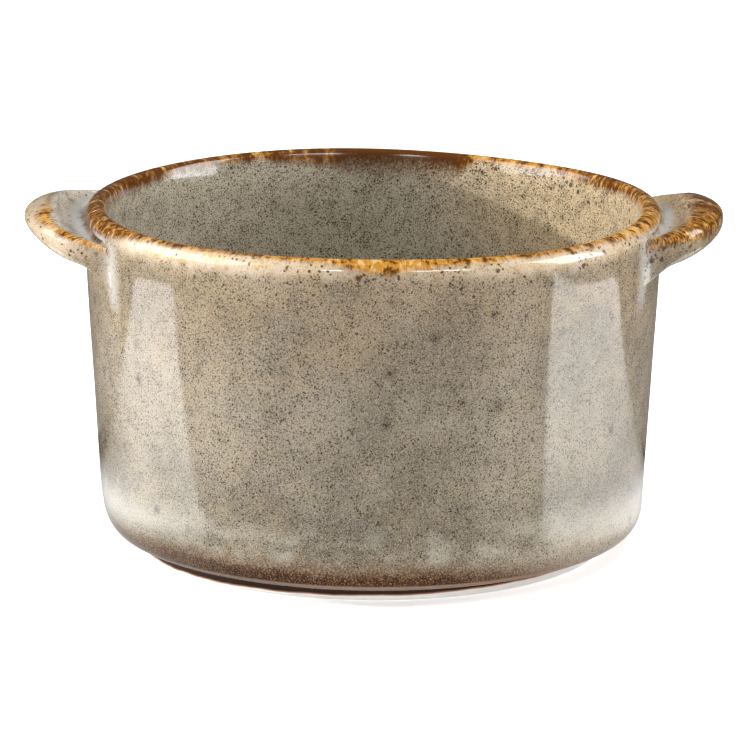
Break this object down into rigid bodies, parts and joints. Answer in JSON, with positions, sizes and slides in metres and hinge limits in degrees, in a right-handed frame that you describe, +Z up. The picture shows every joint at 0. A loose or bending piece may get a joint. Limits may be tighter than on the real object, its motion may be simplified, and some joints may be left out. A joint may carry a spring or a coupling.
{
  "type": "ramekin",
  "caption": "Round stoneware ramekin with a slightly tapered wall, a rounded rim, dished lug handles on opposite sides and a bare clay foot ring, for baking and serving.",
  "frame": {"origin": "centre of the foot ring, on the surface that the ramekin stands on", "axes": "+Z up along the bowl's axis, +X through the middle of the right handle"},
  "size_m": [0.121, 0.1, 0.0606],
  "materials": {
    "bowl_glaze": "glossy speckled greige glaze that breaks amber and brown on the rim",
    "bare_clay": "matt bare fired clay",
    "left_handle_glaze": "glossy grey and cream glaze that breaks amber on the edge",
    "right_handle_glaze": "glossy grey and cream glaze that breaks brown on the edge"
  },
  "bodies": {
    "root": {"bowl": "bowl_glaze", "foot_ring": "bare_clay", "left_handle": "left_handle_glaze", "right_handle": "right_handle_glaze"}
  },
  "joints": []
}
